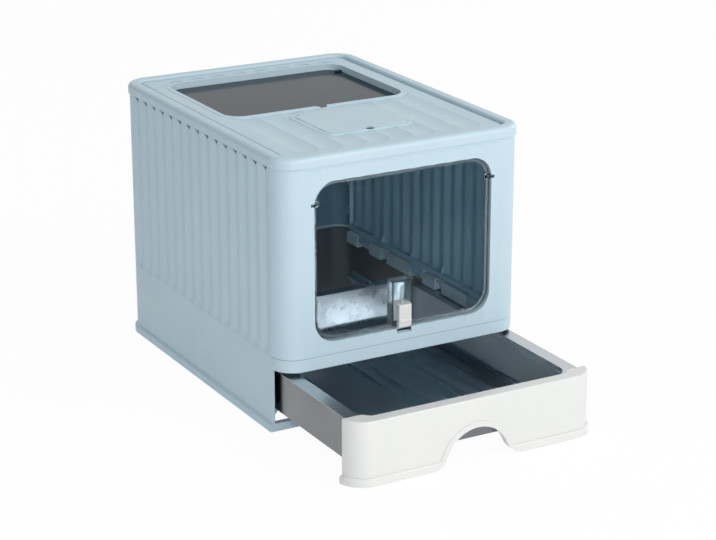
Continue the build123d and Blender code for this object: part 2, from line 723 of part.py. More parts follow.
def drawer_front():
    z0, z1 = drawer_bottom, drawer_top
    solid = body_slab(0, z0, z1)
    solid = fillet(solid.faces().sort_by(Axis.Z)[-1].edges(), 2.0) + foot_lip(z0)
    solid -= body_slab(sheet, z0 - 1, z1 - sheet)
    wide = half_w + lip_out + 1
    solid &= block(-wide, wide, front - lip_out - 1, at(ledge_end_depth), z0 - 1, z1 + 1)
    # the ledge is shallow in the middle and turns back to the drawer's sides
    y_near, y_end = at(ledge_depth), at(ledge_end_depth)
    turn = Spline((ledge_turn_in, y_near), ((ledge_turn_in + ledge_turn_out) / 2, (y_near + y_end) / 2),
                  (ledge_turn_out, y_end), tangents=((1, 0), (1, 0)))
    rim = Line((-ledge_turn_in, y_near), (ledge_turn_in, y_near))
    back = Polyline((ledge_turn_out, y_end), (ledge_turn_out, y_end + 5), (-ledge_turn_out, y_end + 5),
                    (-ledge_turn_out, y_end))
    cut = make_face([rim, turn, mirror(turn, about=Plane.YZ), back])
    solid -= extrude(Pos(0, 0, z1 - sheet - 2) * cut, amount=sheet + 4, dir=(0, 0, 1))
    keep = block(-wide, wide, front - 2, at(grip_depth), z0, z1 - sheet)
    solid += arch(sheet - 1, grip_depth, arch_lining) & keep
    solid += arch(-arch_proud, sheet - 1, arch_bead) & keep
    solid -= arch(-lip_out - 2, grip_depth + 2)
    for x in screw_places:
        solid += rod_y(x, at(sheet - 1), at(frame_front), screw_z, screw_boss)
        solid -= rod_y(x, at(sheet + 1), at(frame_front + 1), screw_z, screw_radius + running)
    return pulled_out(solid)


def frame_slab(inset, z0, z1):
    width = 2 * (frame_x - inset)
    return between(width, at(frame_front + inset), at(frame_rear - inset), max(frame_radius - inset, 4.0), z0, z1)


def drawer_frame():
    solid = frame_slab(0, frame_bottom, frame_top)
    solid -= frame_slab(steel, frame_bottom + steel, frame_top - steel)
    solid -= frame_slab(frame_foot, frame_bottom - 1, frame_bottom + 10)
    solid -= frame_slab(frame_lip, frame_top - 10, frame_top + 1)
    for x in screw_places:
        solid -= rod_y(x, at(frame_front - 1), at(frame_front + steel + 1), screw_z, screw_radius + 0.35)
    return pulled_out(solid)


def pan_body(grow, floor, top):
    """The pan's tapered body, grown by the sheet for its outside."""
    rise = frame_top - pan_floor_z
    outlines = []
    for z in (floor, top):
        taper = pan_draft * (1 - (z - pan_floor_z) / rise)
        end_taper = 0.75 * taper
        y0, y1 = at(pan_front + end_taper - grow), at(pan_rear - end_taper + grow)
        plan = RectangleRounded(2 * (pan_top_x - taper + grow), y1 - y0, pan_radius + grow)
        outlines.append((Pos(0, (y0 + y1) / 2, z) * plan).face())
    return loft(outlines, ruled=True)


def drawer_pan():
    seat = frame_top + pan_seat
    outside = pan_body(steel, pan_floor_z - steel, seat)
    outside = fillet(outside.faces().sort_by(Axis.Z)[0].edges(), 8.0)
    inside = pan_body(0, pan_floor_z, seat + steel + 3)
    inside = fillet(inside.faces().sort_by(Axis.Z)[0].edges(), 7.0)
    y0, y1 = at(frame_front + 3 * steel), at(frame_rear)
    flange = between(2 * frame_x, y0, y1, frame_radius, seat, seat + steel)
    return pulled_out((flange + outside) - inside)


def drawer_screws():
    y_seat = at(frame_front + steel)
    screws = []
    for x in screw_places:
        shank = rod_y(x, at(frame_front - 9), y_seat + 1, screw_z, screw_radius)
        head = rod_y(x, y_seat, y_seat + screw_head_height, screw_z, screw_head)
        screws.append(pulled_out(shank + head))
    return group(screws)


# ---- write every piece -------------------------------------------------------------------
os.makedirs("parts", exist_ok=True)
pieces = {
    "base_housing": base_housing(),
    "front_panel": front_panel(),
    "rear_panel": rear_panel(),
    "lid": lid(),
    "roof_flap": roof_flap(),
    "roof_flap_pins": roof_pins(),
    "deodoriser_cover": deodoriser_cover(),
    "deodoriser_cover_pins": cover_pins(),
    "deodoriser_cup": deodoriser_cup(),
    "deodoriser_pad": deodoriser_pad(),
    "front_door": front_door(),
    "front_door_pins": door_pins(),
    "latch_channel": latch_channel(),
    "latch_bolt": latch_bolt(),
    "drawer_front": drawer_front(),
    "drawer_frame": drawer_frame(),
    "drawer_pan": drawer_pan(),
    "drawer_screws": drawer_screws(),
}
for label, piece in (("hinge_rail", hinge_rail()), ("hinge_pins", hinge_pins()), ("drawer_runner", runner()),
                     ("side_wall", side_wall())):
    pieces[label + "_left"], pieces[label + "_right"] = sides(piece)
for name, piece in pieces.items():
    export_step(piece, f"parts/{name}.step")
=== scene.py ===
from math import cos, pi, radians, sin, sqrt, tau
import bmesh
import bpy
from mathutils import Matrix, Vector


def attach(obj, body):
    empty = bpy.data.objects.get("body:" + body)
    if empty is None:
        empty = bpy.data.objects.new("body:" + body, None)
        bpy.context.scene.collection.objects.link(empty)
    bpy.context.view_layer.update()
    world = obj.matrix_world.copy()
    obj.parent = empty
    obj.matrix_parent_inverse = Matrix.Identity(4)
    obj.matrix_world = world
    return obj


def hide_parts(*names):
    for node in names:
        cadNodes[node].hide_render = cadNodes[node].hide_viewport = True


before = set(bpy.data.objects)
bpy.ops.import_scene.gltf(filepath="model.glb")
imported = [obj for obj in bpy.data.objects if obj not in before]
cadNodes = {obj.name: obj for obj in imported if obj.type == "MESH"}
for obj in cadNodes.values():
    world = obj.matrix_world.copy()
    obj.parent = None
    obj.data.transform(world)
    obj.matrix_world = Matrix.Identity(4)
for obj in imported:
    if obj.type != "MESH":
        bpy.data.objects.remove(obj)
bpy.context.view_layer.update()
scene = bpy.context.scene
mm = 0.001
print("frame loaded:", len(cadNodes), "nodes")


# the body's main places, in millimetres, as the frame stands
body = {
    "halfWidth": 191.5,
    "depth": 512.0,
    "cornerRadius": 33.0,
    "middleY": 96.25,
    "seam": 110.0,           # under the walls
    "wallTop": 379.4,        # under the lid
    "pullOut": 192.5,
}
frontY = body["middleY"] - body["depth"] / 2
rearY = body["middleY"] + body["depth"] / 2


# ---- materials

def fromScreen(r, g, b):
    # colour as picked off a screen, 0 to 255, to the linear values Blender mixes
    out = []
    for value in (r, g, b):
        v = value / 255
        out.append(v / 12.92 if v <= 0.04045 else ((v + 0.055) / 1.055) ** 2.4)
    return (*out, 1.0)


def noiseField(tree, coords, scale, detail=3.0, rough=0.5, stretch=None):
    noise = tree.nodes.new("ShaderNodeTexNoise")
    noise.inputs["Scale"].default_value = scale
    noise.inputs["Detail"].default_value = detail
    noise.inputs["Roughness"].default_value = rough
    source = coords
    if stretch:
        mapping = tree.nodes.new("ShaderNodeMapping")
        mapping.inputs["Scale"].default_value = stretch
        tree.links.new(coords, mapping.inputs["Vector"])
        source = mapping.outputs["Vector"]
    tree.links.new(source, noise.inputs["Vector"])
    return noise.outputs["Fac"]


def spread(tree, field, low, high, fromLow=0.3, fromHigh=0.7):
    reach = tree.nodes.new("ShaderNodeMapRange")
    reach.inputs["From Min"].default_value = fromLow
    reach.inputs["From Max"].default_value = fromHigh
    reach.inputs["To Min"].default_value = low
    reach.inputs["To Max"].default_value = high
    tree.links.new(field, reach.inputs["Value"])
    return reach.outputs["Result"]


def makeMaterial(name, look):
    mat = bpy.data.materials.new(name)
    mat.use_nodes = True
    tree = mat.node_tree
    shader = tree.nodes["Principled BSDF"]
    coords = tree.nodes.new("ShaderNodeTexCoord").outputs["Object"]
    stretch = look.get("stretch")
    # broad, faint change of colour over the surface
    cloud = noiseField(tree, coords, look["cloudScale"], 4.0, 0.55)
    mix = tree.nodes.new("ShaderNodeMix")
    mix.data_type = "RGBA"
    mix.inputs["A"].default_value = look["colour"]
    mix.inputs["B"].default_value = look["shade"]
    tree.links.new(spread(tree, cloud, 0.0, 1.0, 0.35, 0.65), mix.inputs["Factor"])
    tree.links.new(mix.outputs["Result"], shader.inputs["Base Color"])
    # patches of slightly different gloss
    gloss = noiseField(tree, coords, look["glossScale"], 3.0, 0.6, stretch)
    tree.links.new(spread(tree, gloss, *look["roughness"]), shader.inputs["Roughness"])
    # moulded or rolled grain
    grain = noiseField(tree, coords, look["grainScale"], 2.0, 0.6, stretch)
    bump = tree.nodes.new("ShaderNodeBump")
    bump.inputs["Strength"].default_value = look["grain"]
    bump.inputs["Distance"].default_value = look["grainDepth"]
    tree.links.new(grain, bump.inputs["Height"])
    tree.links.new(bump.outputs["Normal"], shader.inputs["Normal"])
    for socket, value in look.get("sockets", {}).items():
        shader.inputs[socket].default_value = value
    return mat


blueLook = {
    "colour": fromScreen(186, 206, 216), "shade": fromScreen(183, 204, 215), "cloudScale": 9.0,
    "roughness": (0.36, 0.46), "glossScale": 26.0,
    "grainScale": 1400.0, "grain": 0.12, "grainDepth": 0.00006,
    "sockets": {"IOR": 1.49, "Specular IOR Level": 0.5},
}
# inner faces: a darker copy of the blue plastic, painted shade inside the body
paintedShadeBlueLook = {
    "colour": fromScreen(148, 184, 202), "shade": fromScreen(141, 178, 197), "cloudScale": 12.0,
    "roughness": (0.45, 0.56), "glossScale": 22.0,
    "grainScale": 1100.0, "grain": 0.15, "grainDepth": 0.00007,
    "sockets": {"IOR": 1.49},
}
whiteLook = {
    "colour": fromScreen(219, 218, 216), "shade": fromScreen(216, 216, 214), "cloudScale": 8.0,
    "roughness": (0.30, 0.34), "glossScale": 14.0,
    "grainScale": 1500.0, "grain": 0.05, "grainDepth": 0.00003,
    "sockets": {"IOR": 1.5, "Coat Weight": 0.1, "Coat Roughness": 0.2},
}
smokedLook = {
    "colour": fromScreen(30, 50, 62), "shade": fromScreen(24, 43, 56), "cloudScale": 6.0,
    "roughness": (0.10, 0.16), "glossScale": 18.0,
    "grainScale": 700.0, "grain": 0.03, "grainDepth": 0.00003,
    "sockets": {"IOR": 1.17, "Specular Tint": (0.78, 0.92, 1.0, 1.0), "Transmission Weight": 0.25},
}
clearLook = {
    "colour": fromScreen(236, 243, 246), "shade": fromScreen(232, 241, 245), "cloudScale": 7.0,
    "roughness": (0.01, 0.035), "glossScale": 15.0,
    "grainScale": 500.0, "grain": 0.015, "grainDepth": 0.00002,
    "sockets": {"IOR": 1.1, "Transmission Weight": 1.0},
}
# the panes' edge faces darkened as painted shade for the gaps around them
paneEdgeShadeLook = {
    "colour": fromScreen(58, 76, 88), "shade": fromScreen(44, 62, 74), "cloudScale": 30.0,
    "roughness": (0.08, 0.2), "glossScale": 60.0,
    "grainScale": 500.0, "grain": 0.05, "grainDepth": 0.00003,
    "sockets": {"IOR": 1.4, "Transmission Weight": 0.3},
}
sheetLook = {
    "colour": fromScreen(192, 197, 201), "shade": fromScreen(183, 189, 194), "cloudScale": 7.0,
    "roughness": (0.24, 0.32), "glossScale": 30.0,
    "grainScale": 260.0, "grain": 0.05, "grainDepth": 0.00003,
    "stretch": (1.0, 0.06, 1.0), "sockets": {"Metallic": 1.0},
}
frameLook = {
    "colour": fromScreen(130, 132, 134), "shade": fromScreen(120, 123, 126), "cloudScale": 7.0,
    "roughness": (0.2, 0.27), "glossScale": 30.0,
    "grainScale": 260.0, "grain": 0.06, "grainDepth": 0.00003,
    "stretch": (1.0, 0.06, 1.0), "sockets": {"Metallic": 1.0},
}
pinLook = {
    "colour": fromScreen(196, 196, 198), "shade": fromScreen(184, 184, 187), "cloudScale": 40.0,
    "roughness": (0.22, 0.34), "glossScale": 120.0,
    "grainScale": 1600.0, "grain": 0.1, "grainDepth": 0.00003,
    "stretch": (1.0, 0.15, 1.0), "sockets": {"Metallic": 1.0},
}
carbonLook = {
    "colour": fromScreen(48, 49, 52), "shade": fromScreen(30, 31, 33), "cloudScale": 220.0,
    "roughness": (0.85, 0.98), "glossScale": 90.0,
    "grainScale": 900.0, "grain": 0.9, "grainDepth": 0.0006,
    "sockets": {"Sheen Weight": 0.3, "Sheen Roughness": 0.6},
}
bluePlastic = makeMaterial("satinBluePlastic", blueLook)
paintedShadeBlue = makeMaterial("paintedShadeBluePlastic", paintedShadeBlueLook)
whitePlastic = makeMaterial("glossWhitePlastic", whiteLook)
smokedPane = makeMaterial("smokedAcrylic", smokedLook)
clearPane = makeMaterial("clearAcrylic", clearLook)
sheetSteel = makeMaterial("rolledSheetSteel", sheetLook)
pinSteel = makeMaterial("drawnPinSteel", pinLook)
carbonFelt = makeMaterial("carbonFelt", carbonLook)
paneEdgeShade = makeMaterial("acrylicEdgePaintedShade", paneEdgeShadeLook)
frameSteel = makeMaterial("dullFrameSteel", frameLook)
# the door pins darkened as painted shade, so they read as shadowed holes
paintedShadePin = makeMaterial("paintedShadePinSteel", dict(
    pinLook, colour=fromScreen(86, 102, 114), shade=fromScreen(72, 88, 100)))
# painted shade: still darker copies of the inner blue, for the rear panel's inside and the base's inside
rearPaintedShadeBlue = makeMaterial("rearPaintedShadePlastic", dict(
    paintedShadeBlueLook, colour=fromScreen(90, 126, 145), shade=fromScreen(82, 118, 137)))
basePaintedShadeBlue = makeMaterial("basePaintedShadePlastic", dict(
    paintedShadeBlueLook, colour=fromScreen(56, 70, 80), shade=fromScreen(48, 62, 72)))
beadAcrylic = makeMaterial("brightAcrylicBead", dict(
    clearLook, sockets={"IOR": 1.52, "Transmission Weight": 0.9}))
print("materials made")


# ---- pieces finished from the frame's own solids

def newPiece(name, mesh, material, bodyName, replaced=()):
    piece = bpy.data.objects.new(name, mesh)
    scene.collection.objects.link(piece)
    mesh.materials.clear()
    mesh.materials.append(material)
    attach(piece, bodyName)
    if replaced:
        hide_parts(*replaced)
    return piece


def shadeByAngle(bm, degrees):
    limit = radians(degrees)
    for face in bm.faces:
        face.smooth = True
    for edge in bm.edges:
        edge.smooth = len(edge.link_faces) == 2 and edge.calc_face_angle(0) < limit


def addBevel(piece, width, degrees=32.0, segments=2):
    bevel = piece.modifiers.new("softEdges", "BEVEL")
    bevel.width = width * mm
    bevel.segments = segments
    bevel.limit_method = "ANGLE"
    bevel.angle_limit = radians(degrees)
    bevel.harden_normals = True
    return bevel


def mergedCopy(node):
    source = cadNodes[node]
    mesh = source.data.copy()
    mesh.transform(source.matrix_world)
    bm = bmesh.new()
    bm.from_mesh(mesh)
    bmesh.ops.remove_doubles(bm, verts=bm.verts, dist=0.012 * mm)
    bmesh.ops.dissolve_degenerate(bm, edges=bm.edges, dist=0.005 * mm)
    bmesh.ops.dissolve_limit(bm, angle_limit=radians(0.6), verts=bm.verts, edges=bm.edges)
    return mesh, bm


def insetOf(x, y, halfX, halfY, radius):
    # how far a point lies inside a rounded rectangle's outline
    qx, qy = abs(x) - (halfX - radius), abs(y) - (halfY - radius)
    outside = sqrt(max(qx, 0.0) ** 2 + max(qy, 0.0) ** 2)
    return radius - outside - min(max(qx, qy), 0.0)


def bodyInset(x, y):
    # how far a place lies inside the body's outline seen from above
    return insetOf(x, y - body["middleY"], body["halfWidth"], body["depth"] / 2, body["cornerRadius"])


seams = {
    "gap": 0.7,              # the end panels stand off the base and the lid, so each seam shows as a line
    "skin": 3.2,
    "near": 0.02,
}


def openSeams(bm):
    for vert in bm.verts:
        z = vert.co.z / mm
        if bodyInset(vert.co.x / mm, vert.co.y / mm) < seams["skin"]:
            if abs(z - body["seam"]) < seams["near"]:
                vert.co.z += seams["gap"] * mm
            elif abs(z - body["wallTop"]) < seams["near"]:
                vert.co.z -= seams["gap"] * mm


def finishNode(node, bodyName, slotName, material, bevel=0.4, angle=32.0):
    mesh, bm = mergedCopy(node)
    if node in ("front_panel", "rear_panel"):
        openSeams(bm)
    shadeByAngle(bm, angle)
    bm.to_mesh(mesh)
    bm.free()
    piece = newPiece(node + "_finish", mesh, material, bodyName, [node])
    if bevel:
        addBevel(piece, bevel, angle)
    return piece


finishes = [
    # node, body, slot, material, edge softening in mm
    ("base_housing", "base", "blue_plastic", bluePlastic, 0.7),
    ("hinge_rail_left", "base", "blue_plastic", bluePlastic, 0.3),
    ("hinge_rail_right", "base", "blue_plastic", bluePlastic, 0.3),
    ("hinge_pins_left", "base", "steel_pin", pinSteel, 0.4),
    ("hinge_pins_right", "base", "steel_pin", pinSteel, 0.4),
    # the runners get the inner blue's painted shade
    ("drawer_runner_left", "base", "blue_plastic", paintedShadeBlue, 0.3),
    ("drawer_runner_right", "base", "blue_plastic", paintedShadeBlue, 0.3),
    ("front_panel", "base", "blue_plastic", bluePlastic, 0.7),
    ("rear_panel", "base", "blue_plastic", bluePlastic, 0.5),
    # painted shade: the door pins darkened
    ("front_door_pins", "base", "steel_pin", paintedShadePin, 0.4),
    ("lid", "lid", "blue_plastic", bluePlastic, 0.4),
    ("roof_flap_pins", "lid", "steel_pin", pinSteel, 0.3),
    ("deodoriser_cover_pins", "lid", "steel_pin", pinSteel, 0.2),
    # the cup gets the inner blue's painted shade
    ("deodoriser_cup", "lid", "blue_plastic", paintedShadeBlue, 0.3),
    ("deodoriser_pad", "lid", "carbon_pad", carbonFelt, 0.6),
    ("deodoriser_cover", "cover", "blue_plastic", bluePlastic, 0.4),
    ("roof_flap", "roof_flap", "smoked_pane", smokedPane, 0.3),
    ("front_door", "front_door", "clear_pane", clearPane, 0.4),
    ("latch_channel", "front_door", "clear_pane", beadAcrylic, 0.3),
    ("latch_bolt", "latch_bolt", "white_plastic", whitePlastic, 0.5),
    ("drawer_front", "drawer", "white_plastic", whitePlastic, 0.6),
    ("drawer_frame", "drawer", "steel_sheet", frameSteel, 0.2),
    ("drawer_pan", "drawer", "steel_sheet", sheetSteel, 0.25),
]
pieces = {row[0]: finishNode(*row) for row in finishes}


def repaint(piece, material, test):
    # a second finish on the faces that pass a test of their middle and normal, both in millimetres
    mesh = piece.data
    mesh.materials.append(material)
    index = len(mesh.materials) - 1
    for face in mesh.polygons:
        if test(face.center / mm, face.normal):
            face.material_index = index


inside = {
    "skin": 2.4,             # inner faces lie at least this far inside the outline
    "turned": -8.0,          # and look back at the middle
    "frontSheet": 13,        # the doorway's own edges stay the outer blue
    "doorwayEdge": 150,
    "underDoorway": 108,
    "baseFloor": 12.5,
    "baseTop": 109,
}


def facesInward(centre, normal):
    deep = bodyInset(centre.x, centre.y)
    ahead = centre.x * normal.x + (centre.y - body["middleY"]) * normal.y
    besideDoorway = abs(centre.x) > inside["doorwayEdge"] or centre.z < inside["underDoorway"]
    return (inside["skin"] < deep and ahead < inside["turned"]
            and (centre.y > frontY + inside["frontSheet"] or besideDoorway))


def insideBase(centre, normal):
    return facesInward(centre, normal) and inside["baseFloor"] < centre.z < inside["baseTop"]


# painted shade on the rear panel's inner faces
repaint(pieces["rear_panel"], rearPaintedShadeBlue, facesInward)
# painted shade on the front panel's inner faces
repaint(pieces["front_panel"], paintedShadeBlue, facesInward)
# painted shade on the base's inner faces
repaint(pieces["base_housing"], basePaintedShadeBlue, insideBase)

# the two panes' outlines, for their cut edges
doorPane = {"halfWidth": 138.2, "bottom": 131.5, "top": 354.8, "radius": 30.2, "edge": 0.35, "beadFrom": 7.2}
roofPane = {"middleY": frontY + 350.0, "halfWidth": 144.1, "halfDepth": 110.1, "radius": 26.1, "edge": 1.0}


def onDoorEdge(centre, normal):
    middle = (doorPane["bottom"] + doorPane["top"]) / 2
    half = (doorPane["top"] - doorPane["bottom"]) / 2
    deep = insetOf(centre.x, centre.z - middle, doorPane["halfWidth"], half, doorPane["radius"])
    return abs(normal.y) < 0.5 and deep < doorPane["edge"]


def onDoorBead(centre, normal):
    return centre.y > frontY + doorPane["beadFrom"] and not onDoorEdge(centre, normal)


def onFlapEdge(centre, normal):
    deep = insetOf(centre.x, centre.y - roofPane["middleY"], roofPane["halfWidth"], roofPane["halfDepth"],
                   roofPane["radius"])
    return abs(normal.z) < 0.8 and deep < roofPane["edge"]


# painted shade on the door's and the flap's edge faces
repaint(pieces["front_door"], paneEdgeShade, onDoorEdge)
repaint(pieces["front_door"], beadAcrylic, onDoorBead)
repaint(pieces["roof_flap"], paneEdgeShade, onFlapEdge)
print("finished", len(pieces), "pieces from the frame")


# ---- Geometry Nodes helpers

def newTree(name, inputs):
    tree = bpy.data.node_groups.new(name, "GeometryNodeTree")
    tree.interface.new_socket("Geometry", in_out="OUTPUT", socket_type="NodeSocketGeometry")
    for label, kind, value in inputs:
        socket = tree.interface.new_socket(label, in_out="INPUT", socket_type=kind)
        if value is not None:
            socket.default_value = value
    return tree


def setInputs(modifier, tree, values):
    for item in tree.interface.items_tree:
        if item.item_type == "SOCKET" and item.in_out == "INPUT" and item.name in values:
            modifier[item.identifier] = values[item.name]


def bakeTree(name, tree, values):
    host = bpy.data.objects.new(name + "Host", bpy.data.meshes.new(name + "Host"))
    scene.collection.objects.link(host)
    modifier = host.modifiers.new("rule", "NODES")
    modifier.node_group = tree
    setInputs(modifier, tree, values)
    bpy.context.view_layer.update()
    evaluated = host.evaluated_get(bpy.context.evaluated_depsgraph_get())
    mesh = bpy.data.meshes.new_from_object(evaluated)
    mesh.name = name
    host.modifiers.remove(modifier)
    bpy.data.objects.remove(host)
    return mesh


class Wires:
    # short hand for adding and joining nodes of one tree
    def __init__(self, tree):
        self.tree = tree
        self.inputs = tree.nodes.new("NodeGroupInput")
        self.output = tree.nodes.new("NodeGroupOutput")

    def value(self, label):
        return self.inputs.outputs[label]

    def node(self, kind, sockets=None, **settings):
        made = self.tree.nodes.new(kind)
        for key, setting in settings.items():
            setattr(made, key, setting)
        for key, given in (sockets or {}).items():
            self.feed(made.inputs[key], given)
        return made

    def feed(self, socket, given):
        if isinstance(given, bpy.types.NodeSocket):
            self.tree.links.new(given, socket)
        else:
            socket.default_value = given

    def math(self, operation, *given):
        made = self.tree.nodes.new("ShaderNodeMath")
        made.operation = operation
        for socket, one in zip(made.inputs, given):
            self.feed(socket, one)
        return made.outputs[0]

    def end(self, geometry, material):
        real = self.node("GeometryNodeRealizeInstances", {"Geometry": geometry})
        painted = self.node("GeometryNodeSetMaterial", {"Geometry": real.outputs[0], "Material": material})
        self.tree.links.new(painted.outputs[0], self.output.inputs["Geometry"])


# ---- ribbed side walls

wall = {
    "ribCount": 15,
    "ribSpan": 445.5,
    "ribDepth": 3.0,
    "sheet": 2.4,
    "bottom": body["seam"],
    "top": 379.0,
    "notchHalf": 9.5,        # pointed vent under the lid in every valley
    "notchDrop": 8.6,
    "footBlend": 9.0,        # the ribs run out above the base
    "stepsPerRib": 20,
    "innerShare": 0.2,
    "beamDepth": 12.0,
    "beamHeight": 8.0,
    "headHeight": 12.0,
    "post": 4.0,
    "gussetHeight": 14.0,
    "gussetSheet": 2.4,
    "footSet": 1.0,          # gussets and tongues start this far behind the beam's inner face
    "headClear": 0.4,        # between the head beam and the vents' lowest points
    "hingeInset": 9.5,
    "hingeDrop": 9.0,
    "knuckleRadius": 6.0,
    "knuckle": 33.0,
    "pinRadius": 2.05,
    "arm": {"in": 2.5, "out": 4.0, "above": 3.4, "into": 0.6},     # joins a knuckle to the foot beam
    "firstBoss": 13.0,
    "boss": 35.0,
    "bossGap": 2.0,
    "lockRises": (30.0, 78.0, 190.0, 238.0),
    "lockHalf": 6.0,
    "lockReach": 7.5,
    "lockSheet": 2.4,
}
wall["ribPitch"] = wall["ribSpan"] / wall["ribCount"]
wallStart = body["middleY"] - wall["ribSpan"] / 2


def ribbedSkinTree():
    tree = newTree("ribbedSkin", [
        ("Half Width", "NodeSocketFloat", 0.19), ("Rib Count", "NodeSocketInt", 15),
        ("Rib Pitch", "NodeSocketFloat", 0.03), ("Rib Depth", "NodeSocketFloat", 0.003),
        ("Sheet", "NodeSocketFloat", 0.0024), ("Bottom", "NodeSocketFloat", 0.11),
        ("Top", "NodeSocketFloat", 0.38), ("Middle", "NodeSocketFloat", 0.1),
        ("Notch Half", "NodeSocketFloat", 0.007), ("Notch Drop", "NodeSocketFloat", 0.003),
        ("Steps", "NodeSocketInt", 20), ("Inner Share", "NodeSocketFloat", 0.5),
        ("Side", "NodeSocketFloat", 1.0), ("Foot Blend", "NodeSocketFloat", 0.009),
    ])
    w = Wires(tree)
    span = w.math("MULTIPLY", w.value("Rib Pitch"), w.value("Rib Count"))
    height = w.math("SUBTRACT", w.value("Top"), w.value("Bottom"))
    columns = w.math("ADD", w.math("MULTIPLY", w.value("Rib Count"), w.value("Steps")), 1.0)
    grid = w.node("GeometryNodeMeshGrid", {
        "Size X": span, "Size Y": height, "Vertices X": columns, "Vertices Y": 64})
    place = w.node("ShaderNodeSeparateXYZ", {"Vector": w.node("GeometryNodeInputPosition").outputs[0]})
    along = w.math("ADD", place.outputs["X"], w.math("MULTIPLY", span, 0.5))
    turn = w.math("MULTIPLY", w.math("DIVIDE", along, w.value("Rib Pitch")), tau)
    rise = w.math("ADD", w.math("DIVIDE", place.outputs["Y"], height), 0.5)
    aboveFoot = w.math("MULTIPLY", rise, height)
    blend = w.node("ShaderNodeMapRange", {"Value": aboveFoot, "From Max": w.value("Foot Blend")},
                   interpolation_type="SMOOTHSTEP")
    wave = w.math("MULTIPLY", w.math("SUBTRACT", 1.0, w.math("COSINE", turn)), 0.5)
    dip = w.math("MULTIPLY", wave, blend.outputs["Result"])
    outer = w.math("SUBTRACT", w.value("Half Width"), w.math("MULTIPLY", dip, w.value("Rib Depth")))
    # distance from the nearest valley line, for the vee at the top
    phase = w.math("PINGPONG", along, w.math("MULTIPLY", w.value("Rib Pitch"), 0.5))
    fromValley = w.math("SUBTRACT", w.math("MULTIPLY", w.value("Rib Pitch"), 0.5), phase)
    away = w.math("DIVIDE", fromValley, w.value("Notch Half"))
    share = w.math("MAXIMUM", w.math("SUBTRACT", 1.0, away), 0.0)
    drop = w.math("MULTIPLY", share, w.value("Notch Drop"))
    topHere = w.math("SUBTRACT", height, drop)
    z = w.math("ADD", w.value("Bottom"), w.math("MULTIPLY", rise, topHere))
    spot = w.node("ShaderNodeCombineXYZ", {
        "X": w.math("MULTIPLY", outer, w.value("Side")),
        "Y": w.math("ADD", place.outputs["X"], w.value("Middle")), "Z": z})
    outside = w.node("GeometryNodeSetPosition", {
        "Geometry": grid.outputs["Mesh"], "Position": spot.outputs[0]})
    # the inside follows the ribs only part of the way, so the sheet is thicker behind the crests
    unshared = w.math("MULTIPLY", w.value("Rib Depth"), w.math("SUBTRACT", 1.0, w.value("Inner Share")))
    extra = w.math("MULTIPLY", w.math("SUBTRACT", 1.0, dip), unshared)
    thick = w.math("ADD", w.value("Sheet"), extra)
    shift = w.math("MULTIPLY", w.math("MULTIPLY", thick, w.value("Side")), -1.0)
    inward = w.node("ShaderNodeCombineXYZ", {"X": shift})
    grown = w.node("GeometryNodeExtrudeMesh", {
        "Mesh": outside.outputs[0], "Offset": inward.outputs[0], "Offset Scale": 1.0, "Individual": False},
        mode="FACES")
    turned = w.node("GeometryNodeFlipFaces", {"Mesh": outside.outputs[0]})
    both = w.node("GeometryNodeJoinGeometry")
    tree.links.new(grown.outputs["Mesh"], both.inputs[0])
    tree.links.new(turned.outputs["Mesh"], both.inputs[0])
    closed = w.node("GeometryNodeMergeByDistance", {"Geometry": both.outputs[0], "Distance": 1e-6})
    w.end(closed.outputs[0], bluePlastic)
    return tree


def addBar(bm, x0, x1, y0, y1, z0, z1):
    made = bmesh.ops.create_cube(bm, size=1.0)["verts"]
    low = Vector((min(x0, x1), min(y0, y1), min(z0, z1)))
    high = Vector((max(x0, x1), max(y0, y1), max(z0, z1)))
    for vert in made:
        vert.co = Vector([(low[k] + high[k]) / 2 + vert.co[k] * (high[k] - low[k]) for k in range(3)]) * mm


def addPrism(bm, outline, y0, y1):
    # outline of (x, z) points, given thickness along Y
    near = [bm.verts.new((x * mm, y0 * mm, z * mm)) for x, z in outline]
    far = [bm.verts.new((x * mm, y1 * mm, z * mm)) for x, z in outline]
    faces = [bm.faces.new(near), bm.faces.new(list(reversed(far)))]
    for n in range(len(outline)):
        m = (n + 1) % len(outline)
        faces.append(bm.faces.new((near[n], far[n], far[m], near[m])))
    return faces


def addTube(bm, x, z, y0, y1, outer, inner, steps=40):
    rings = []
    for radius, y in ((outer, y0), (outer, y1), (inner, y1), (inner, y0)):
        rings.append([bm.verts.new(((x + radius * cos(tau * n / steps)) * mm, y * mm,
                                    (z + radius * sin(tau * n / steps)) * mm)) for n in range(steps)])
    for a in range(4):
        one, two = rings[a], rings[(a + 1) % 4]
        for n in range(steps):
            m = (n + 1) % steps
            bm.faces.new((one[n], one[m], two[m], two[n]))


def hingeGroups():
    # where each knuckle starts along Y, as the bosses of the hinge rail leave room for it
    firstBoss = body["cornerRadius"] + wall["firstBoss"]
    last = 2 * wall["boss"] + wall["knuckle"] + 2 * wall["bossGap"]
    pitch = (body["depth"] - body["cornerRadius"] - last - firstBoss) / 2
    return [frontY + firstBoss + n * pitch + wall["boss"] + wall["bossGap"] for n in range(3)]


